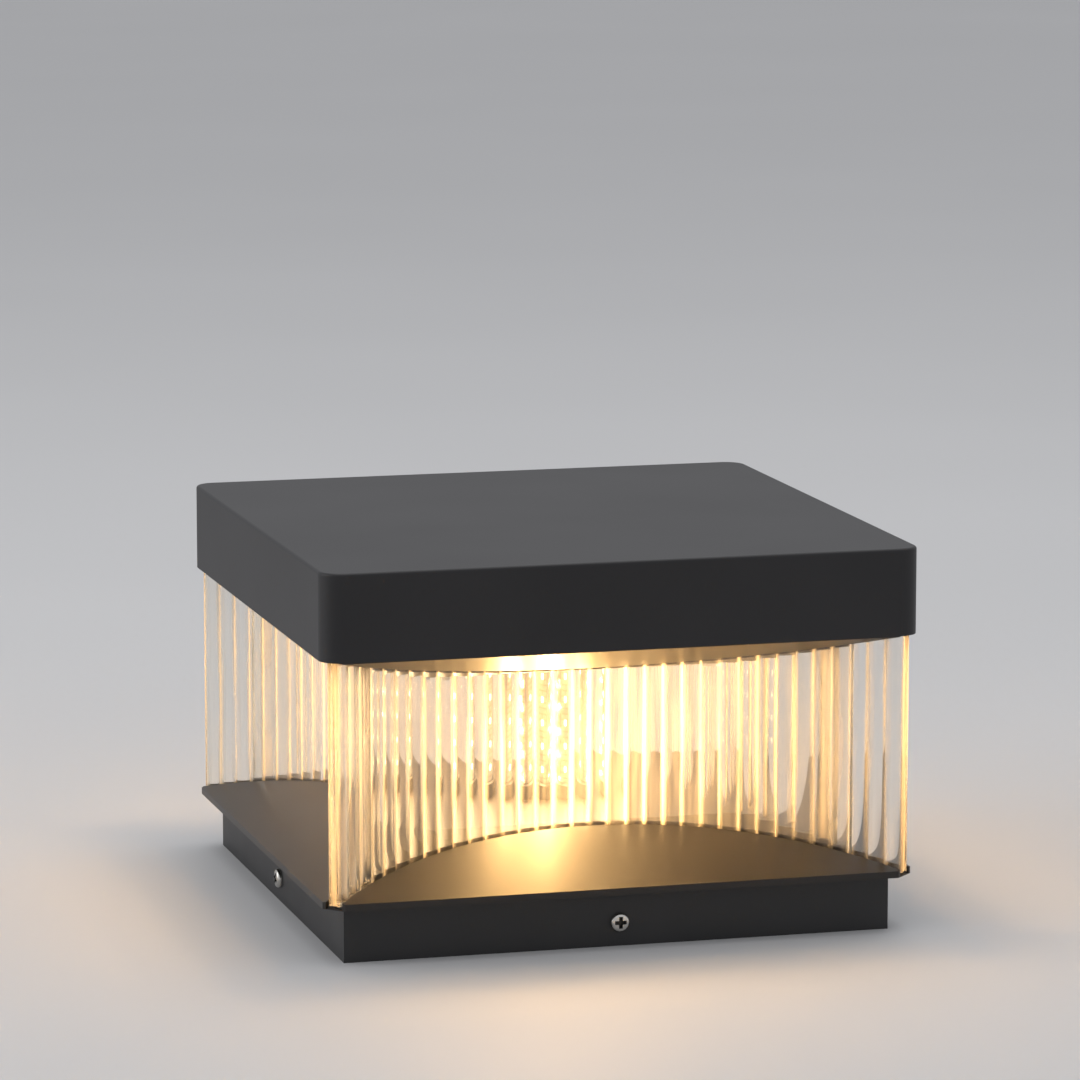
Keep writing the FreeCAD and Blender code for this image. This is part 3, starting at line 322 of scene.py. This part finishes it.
# %% Threaded rod
PITCH = 1.0 * MM
THREAD_RELIEF = 0.6 * MM
rod_finish, rod_shader, rod_place = surface("threaded zinc-plated tube", {"Metallic": 1.0})
grain(rod_finish, rod_shader, rod_place, ("#A6ABAF", "#C2C5C7"), (0.28, 0.38), 5.0, 0.4, 0.006)
parts = add(rod_finish, "SeparateXYZ", {}, {"Vector": rod_place}).outputs
angle = add(rod_finish, "Math", {"operation": "ARCTAN2"}, {0: parts["Y"], 1: parts["X"]})
around = add(rod_finish, "Math", {"operation": "DIVIDE", 1: math.tau}, {0: angle.outputs["Value"]})
climb = add(rod_finish, "Math", {"operation": "DIVIDE", 1: PITCH}, {0: parts["Z"]})
turns = add(rod_finish, "Math", {"operation": "ADD"},
            {0: climb.outputs["Value"], 1: around.outputs["Value"]})
groove = add(rod_finish, "Math", {"operation": "PINGPONG", 1: 0.5}, {0: turns.outputs["Value"]})
thread = add(rod_finish, "Bump", {"Distance": THREAD_RELIEF}, {"Height": groove.outputs["Value"]})
rod_finish.node_tree.links.new(thread.outputs["Normal"], rod_shader.inputs["Normal"])
dress(rod_finish, "tie_rod")

# %% [markdown]
# ## Plastics and rubber
#
# Moulded polyamide takes the spark-eroded texture of its tool, a matt grain a third of a millimetre
# wide. Silicone is smooth and a little waxy, so light enters it slightly. The grommet is black
# rubber with a dull bloom. The cable's sheath is softer and glossier than the case beside it.

# %% Plastics and rubber
nylon, nylon_shader, nylon_place = surface("moulded black polyamide", {"IOR": 1.53})
grain(nylon, nylon_shader, nylon_place, ("#171718", "#212122"), (0.46, 0.58), 18.0, 0.35, 0.03)
dress(nylon, "column_foot", "column_head", "driver_case", "driver_lid", "gland_body", "gland_nut")

silicone, silicone_shader, silicone_place = surface(
    "silicone gasket", {"IOR": 1.41, "Subsurface Weight": 0.15, "Subsurface Scale": 0.8 * MM})
grain(silicone, silicone_shader, silicone_place,
      ("#2B2A29", "#383635"), (0.42, 0.52), 12.0, 0.8, 0.02)
dress(silicone, "lower_seal", "upper_seal")

rubber, rubber_shader, rubber_place = surface("black rubber", {"IOR": 1.52})
grain(rubber, rubber_shader, rubber_place, ("#151515", "#232222"), (0.62, 0.78), 8.0, 0.5, 0.03)
dress(rubber, "cable_grommet", "gland_seal")

sheath, sheath_shader, sheath_place = surface("soft vinyl sheath", {"IOR": 1.54})
grain(sheath, sheath_shader, sheath_place, ("#1A1A1B", "#262627"), (0.34, 0.44), 10.0, 1.2, 0.02)
dress(sheath, "led_lead")

terminal, terminal_shader, terminal_place = surface("grey polyamide terminal", {"IOR": 1.53})
grain(terminal, terminal_shader, terminal_place, ("#9A9C9B", "#AEB0AF"), (0.4, 0.5), 8.0, 0.3, 0.02)
dress(terminal, "terminal_block")

# %% [markdown]
# ## Circuit boards
#
# Solder mask is a glossy lacquer over copper tracks, so the tracks show as a low relief and a
# slightly different tone. A brick pattern drawn at track width gives straight runs with breaks in
# them. The transformer is wrapped in yellow polyester tape, a saw-toothed wave. The wave texture
# runs through twenty radians for each unit of its scale, so a full turn is divided by that rate.

# %% Boards and tape
def tracked(name, mask, track, spacing):
    """Solder mask over straight copper runs; spacing is millimetres from run to run."""
    material, shader, place = surface(name, {"IOR": 1.5, "Roughness": 0.3, "Coat Weight": 0.4})
    turned = add(material, "Mapping", {"Rotation": (math.radians(90), 0, 0)}, {"Vector": place})
    runs = add(material, "TexBrick", {
        "Scale": 1 / (spacing * MM), "Mortar Size": 0.12, "Brick Width": 6.0, "Row Height": 1.0,
        "Color1": linear(mask), "Color2": linear(mask), "Mortar": linear(track)},
        {"Vector": turned.outputs["Vector"]})
    speck = add(material, "TexNoise", {"Scale": 1 / (2.5 * MM)}, {"Vector": place})
    blend = add(material, "MixRGB", {"blend_type": "MULTIPLY", "Fac": 0.15},
                {"Color1": runs.outputs["Color"], "Color2": speck.outputs["Color"]})
    relief = add(material, "Bump", {"Distance": 0.05 * MM}, {"Height": runs.outputs["Fac"]})
    material.node_tree.links.new(blend.outputs["Color"], shader.inputs["Base Color"])
    material.node_tree.links.new(relief.outputs["Normal"], shader.inputs["Normal"])
    return material


dress(tracked("white solder mask", "#ECEAE2", "#D8D2BE", 2.5), "led_boards")
dress(tracked("green solder mask", "#1F5A3A", "#2F7A50", 2.0), "driver_board")

TAPE_LAP = 18.85 * MM
WAVE_RATE = 20
tape, tape_shader, tape_place = surface("yellow polyester tape", {"IOR": 1.6, "Roughness": 0.35})
wrap = add(tape, "TexWave", {"bands_direction": "Z", "wave_profile": "SAW",
                             "Scale": math.tau / (WAVE_RATE * TAPE_LAP)}, {"Vector": tape_place})
wound = add(tape, "ValToRGB", {}, {"Fac": wrap.outputs["Fac"]})
wound.color_ramp.elements[0].color = linear("#B98F23")
wound.color_ramp.elements[1].color = linear("#D9B13C")
edge = add(tape, "Bump", {"Distance": 0.06 * MM}, {"Height": wrap.outputs["Fac"]})
tape.node_tree.links.new(wound.outputs["Color"], tape_shader.inputs["Base Color"])
tape.node_tree.links.new(edge.outputs["Normal"], tape_shader.inputs["Normal"])
dress(tape, "driver_transformer")

# %% [markdown]
# ## Finishing a bmesh
#
# Each new piece starts as a bmesh, which operators shape. When it is done its doubles are merged,
# its faces are turned outwards, and it becomes an object at the origin that rides on one body of
# the lamp, so it follows every joint.

# %% Turn a bmesh into a riding piece
def filled(name, shape):
    """The mesh of a bmesh, which it frees."""
    mesh = bpy.data.meshes.new(name)
    shape.to_mesh(mesh)
    shape.free()
    return mesh


def piece(name, shape, materials, body, crease=35):
    """A finished object, smooth except where faces meet at more than crease degrees."""
    bmesh.ops.remove_doubles(shape, verts=shape.verts, dist=0.002 * MM)
    bmesh.ops.recalc_face_normals(shape, faces=shape.faces)
    for face in shape.faces:
        face.smooth = True
    for line in shape.edges:
        line.smooth = line.calc_face_angle(0.0) < math.radians(crease)
    mesh = filled(name, shape)
    for material in materials:
        mesh.materials.append(material)
    made = bpy.data.objects.new(name, mesh)
    bpy.context.scene.collection.objects.link(made)
    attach(made, body)
    print(name, len(mesh.polygons), "faces")
    return made


print("pieces can be made")

# %% [markdown]
# ## LED packages
#
# Each LED is a white moulded package with a yellow phosphor window that glows warm white. Five sit
# on each of the column's six boards. One package is a stretched cube with its window inset and
# sunk; thirty copies are turned and lifted to their places on the boards.

# %% One LED package
FACES = 6
ROWS = 5
PACKAGE = (3.5 * MM, 0.8 * MM, 2.8 * MM)
WINDOW_FRAME = 0.35 * MM
WINDOW_SINK = 0.12 * MM
GLOW_STRENGTH = 3600.0
chips_low, chips_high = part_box("led_chips")
FIRST_ROW = chips_low.z + PACKAGE[2] / 2
ROW_STEP = (chips_high.z - chips_low.z - PACKAGE[2]) / (ROWS - 1)
BOARD_FRONT = chips_high.y - PACKAGE[1]

package_white, white_shader, white_place = surface("white package moulding", {"IOR": 1.5})
grain(package_white, white_shader, white_place,
      ("#EDE8DC", "#F6F2E8"), (0.35, 0.45), 2.0, 0.2, 0.005)
phosphor, phosphor_shader, phosphor_place = surface(
    "lit phosphor window", {"Roughness": 0.4, "Emission Strength": GLOW_STRENGTH})
warmth = add(phosphor, "TexNoise", {"Scale": 1 / (0.8 * MM)}, {"Vector": phosphor_place})
glow = add(phosphor, "ValToRGB", {}, {"Fac": warmth.outputs["Fac"]})
glow.color_ramp.elements[0].color = linear("#FFCF92")
glow.color_ramp.elements[1].color = linear("#FFDAA6")
phosphor.node_tree.links.new(glow.outputs["Color"], phosphor_shader.inputs["Emission Color"])
phosphor.node_tree.links.new(glow.outputs["Color"], phosphor_shader.inputs["Base Color"])

package = bmesh.new()
bmesh.ops.create_cube(package, size=1.0)
bmesh.ops.scale(package, vec=PACKAGE, verts=package.verts)
window = [face for face in package.faces if face.normal.y > 0.9]
bmesh.ops.inset_region(package, faces=window, thickness=WINDOW_FRAME, use_even_offset=True)
bmesh.ops.translate(package, vec=(0, -WINDOW_SINK, 0), verts=window[0].verts)
window[0].material_index = 1
package_mesh = filled("one package", package)
print("one package has", len(package_mesh.polygons), "faces")

# %% Thirty LED packages
packages = bmesh.new()
for side in range(FACES):
    for row in range(ROWS):
        before = len(packages.verts)
        packages.from_mesh(package_mesh)
        packages.verts.ensure_lookup_table()
        place = Matrix.Rotation(math.tau * side / FACES, 4, "Z") @ Matrix.Translation(
            (0, BOARD_FRONT + PACKAGE[1] / 2, FIRST_ROW + row * ROW_STEP))
        bmesh.ops.transform(packages, matrix=place, verts=packages.verts[before:])
led_packages = piece("led_packages", packages, [package_white, phosphor], "lamp")
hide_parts("led_chips")

# %% [markdown]
# ## Side screws
#
# The four side screws are stainless M4 machine screws with crowned pan heads and a cross recess.
# One screw is shaped along +Z first. Two helpers come before it: one spins an outline round the
# axis, and the other makes a plain object that a boolean can read.

# %% Screw sizes and helpers
HEAD_RADIUS = 4 * MM
HEAD_HEIGHT = 2.4 * MM
SHANK_RADIUS = 2 * MM
SHANK_LENGTH = 12 * MM
THREAD_PITCH = 0.7 * MM
THREAD_DEPTH = 0.42 * MM
THREAD_SINK = 0.02 * MM
THREAD_START = 0.3 * MM
PLAIN_END = 1.6 * MM
TURN_STEPS = 24
CROWN_SHARE = 0.86
CROWN_RISE = 0.42 * MM
RECESS_SPAN = 7.0 * MM
RECESS_WIDTH = 2.0 * MM
RECESS_DEPTH = 1.5 * MM
RECESS_TAPER = (0.45, 0.6, 1)


def spun(shape, outline, steps=48):
    """Spin an outline of (radius, height) points a full turn round Z."""
    verts = [shape.verts.new((radius, 0, height)) for radius, height in outline]
    lines = [shape.edges.new(pair) for pair in zip(verts, verts[1:])]
    bmesh.ops.spin(shape, geom=verts + lines, cent=(0, 0, 0), axis=(0, 0, 1), angle=math.tau,
                   steps=steps, use_merge=True)
    bmesh.ops.remove_doubles(shape, verts=shape.verts, dist=0.002 * MM)


def loose(name, shape):
    """A helper object from a bmesh, for a boolean."""
    bmesh.ops.recalc_face_normals(shape, faces=shape.faces)
    made = bpy.data.objects.new(name, filled(name, shape))
    bpy.context.scene.collection.objects.link(made)
    return made


print("a screw is", round((HEAD_HEIGHT + SHANK_LENGTH) / MM, 1), "mm long")

# %% [markdown]
# ## The head and its recess
#
# The head's outline is spun round its axis. The recess is two tapered blocks taken away by two
# booleans, as the header's punch makes it. Its walls are picked out afterwards by their place,
# under the crown and inside the rim; they stay dull, and their dark tone is painted shade.

# %% Punch the head
head = bmesh.new()
crown = [(HEAD_RADIUS * math.sin(math.radians(lean)) * CROWN_SHARE,
          HEAD_HEIGHT - CROWN_RISE * (1 - math.cos(math.radians(lean))))
         for lean in range(0, 91, 18)]
spun(head, crown + [(HEAD_RADIUS * 0.96, HEAD_HEIGHT * 0.66), (HEAD_RADIUS, HEAD_HEIGHT * 0.42),
                    (HEAD_RADIUS, 0.15 * MM), (HEAD_RADIUS * 0.95, 0), (0, 0)])
head_object = loose("screw head", head)

helpers = [head_object]
for quarter in (0, 90):
    slot = bmesh.new()
    bmesh.ops.create_cube(slot, size=1.0)
    bmesh.ops.scale(slot, vec=(RECESS_SPAN, RECESS_WIDTH, 2 * RECESS_DEPTH), verts=slot.verts)
    bmesh.ops.scale(slot, vec=RECESS_TAPER,
                    verts=[vert for vert in slot.verts if vert.co.z < 0])
    bmesh.ops.rotate(slot, cent=(0, 0, 0), matrix=Matrix.Rotation(math.radians(quarter), 3, "Z"),
                     verts=slot.verts)
    bmesh.ops.translate(slot, vec=(0, 0, HEAD_HEIGHT), verts=slot.verts)
    helpers.append(loose("slot punch", slot))
    cut = head_object.modifiers.new("recess", "BOOLEAN")
    cut.object = helpers[-1]
    cut.solver = "EXACT"
punched = bpy.data.meshes.new_from_object(
    head_object.evaluated_get(bpy.context.evaluated_depsgraph_get()))
for helper in helpers:
    bpy.data.objects.remove(helper)
# Faces inside the cross recess get the dark painted-shade material.
for face in punched.polygons:
    inside = face.center.xy.length < 0.8 * HEAD_RADIUS and face.center.z > 0.1 * MM
    face.material_index = 1 if inside and face.center.z < HEAD_HEIGHT - 0.35 * MM else 0
print("screw head has", len(punched.polygons), "faces")

# %% [markdown]
# ## The thread, and four screws in place
#
# The thread is a V-shaped ridge spun round and along the axis at 0.7 millimetres a turn. The
# finished screw is laid down and turned to each side of the plinth, with its recess at another
# angle each time, as a screwdriver leaves it.

# %% Cut the thread and set four screws
screw = bmesh.new()
screw.from_mesh(punched)
core = bmesh.new()
spun(core, [(0, 0.2 * MM), (SHANK_RADIUS - THREAD_DEPTH, 0.2 * MM),
            (SHANK_RADIUS - THREAD_DEPTH, 0.6 * MM - SHANK_LENGTH), (1.0 * MM, -SHANK_LENGTH),
            (0, -SHANK_LENGTH)], steps=TURN_STEPS)
screw.from_mesh(filled("screw core", core))
root = SHANK_RADIUS - THREAD_DEPTH - THREAD_SINK
ridge = [screw.verts.new((radius, 0, height)) for radius, height in (
    (root, -THREAD_START), (SHANK_RADIUS, -2 * THREAD_START), (root, -3 * THREAD_START))]
ridge_lines = [screw.edges.new(pair) for pair in zip(ridge, ridge[1:] + ridge[:1])]
ridge_face = screw.faces.new(ridge)
thread_turns = int((SHANK_LENGTH - PLAIN_END) / THREAD_PITCH)
bmesh.ops.spin(screw, geom=ridge + ridge_lines + [ridge_face], cent=(0, 0, 0), axis=(0, 0, 1),
               dvec=(0, 0, -THREAD_PITCH / TURN_STEPS), angle=math.tau * thread_turns,
               steps=TURN_STEPS * thread_turns)
screw_mesh = filled("screw", screw)

screw_low, screw_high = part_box("side_screw_front")
screw_z = (screw_low.z + screw_high.z) / 2
seat = -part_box("plinth_skirt")[0].y
for side, angle in (("front", 0), ("right", 90), ("rear", 180), ("left", 270)):
    shape = bmesh.new()
    shape.from_mesh(screw_mesh)
    twist = Matrix.Rotation(math.radians(angle / 4), 4, "Z")
    lay = Matrix.Rotation(math.radians(90), 4, "X")
    spot = Matrix.Rotation(math.radians(angle), 4, "Z") @ Matrix.Translation((0, -seat, screw_z))
    bmesh.ops.transform(shape, matrix=spot @ lay @ twist, verts=shape.verts)
    made = piece("cross_screw_" + side, shape, [stainless, recess_painted_shade], "side_screw_" + side)
    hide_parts("side_screw_" + side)

# %% [markdown]
# ## Floor
#
# The lamp stands on a plain pale floor that runs on for twenty metres. The warm light that comes
# through the ribs falls on it, and so does the lamp's shadow.

# %% Lay the floor
FLOOR_REACH = 20
floor_paint, floor_shader, floor_place = surface("plain pale floor", {"Roughness": 0.7})
grain(floor_paint, floor_shader, floor_place,
      ("#CBCBCC", "#CFCFD0"), (0.65, 0.75), 400.0, 30.0, 0.02)
floor_shape = bmesh.new()
bmesh.ops.create_grid(floor_shape, x_segments=2, y_segments=2, size=FLOOR_REACH)
floor_mesh = filled("floor", floor_shape)
floor_mesh.materials.append(floor_paint)
floor = bpy.data.objects.new("floor", floor_mesh)
bpy.context.scene.collection.objects.link(floor)
print("the floor reaches", FLOOR_REACH, "metres each way")

# %% [markdown]
# ## World
#
# The world gives even light from all round. Camera, glossy and transmission rays see a plain pale
# background instead, so that metal, paint and acrylic show the same background as the picture.

# %% Set the world
world = bpy.data.worlds.new("studio")
bpy.context.scene.world = world
world.use_nodes = True
sky = world.node_tree.nodes["Background"]
sky.inputs["Color"].default_value = linear("#E4E5E8")
sky.inputs["Strength"].default_value = 0.72
seen = world.node_tree.nodes.new("ShaderNodeBackground")
seen.inputs["Color"].default_value = linear("#CACBCE")
path = world.node_tree.nodes.new("ShaderNodeLightPath")
choose = world.node_tree.nodes.new("ShaderNodeMixShader")
kinds = path.outputs["Is Camera Ray"]
for other in ("Is Glossy Ray", "Is Transmission Ray"):
    either = world.node_tree.nodes.new("ShaderNodeMath")
    either.operation = "MAXIMUM"
    world.node_tree.links.new(kinds, either.inputs[0])
    world.node_tree.links.new(path.outputs[other], either.inputs[1])
    kinds = either.outputs["Value"]
world.node_tree.links.new(kinds, choose.inputs["Fac"])
world.node_tree.links.new(sky.outputs["Background"], choose.inputs[1])
world.node_tree.links.new(seen.outputs["Background"], choose.inputs[2])
world.node_tree.links.new(choose.outputs["Shader"],
                          world.node_tree.nodes["World Output"].inputs["Surface"])
print("world nodes:", len(world.node_tree.nodes))

# %% [markdown]
# ## Studio panels
#
# A large soft panel on the left gives the cap's left face its sheen, and a second one above lights
# the top. Both face the middle of the lamp.

# %% Hang two panels
MIDDLE = Vector((0, 0, 80 * MM))


def panel(name, place, size, power):
    """A soft square light that faces the lamp; metres, and watts."""
    light = bpy.data.lights.new(name, "AREA")
    light.shape = "SQUARE"
    light.size = size
    light.energy = power
    made = bpy.data.objects.new(name, light)
    made.location = place
    made.rotation_euler = (Vector(place) - MIDDLE).to_track_quat("Z", "Y").to_euler()
    bpy.context.scene.collection.objects.link(made)


panel("left panel", (-2.0, 0.2, 0.9), 1.6, 12.0)
panel("top panel", (0.3, 0.3, 2.2), 1.8, 14.0)

scene = bpy.context.scene
scene.view_settings.view_transform = "Standard"
print("stage and lights are set")
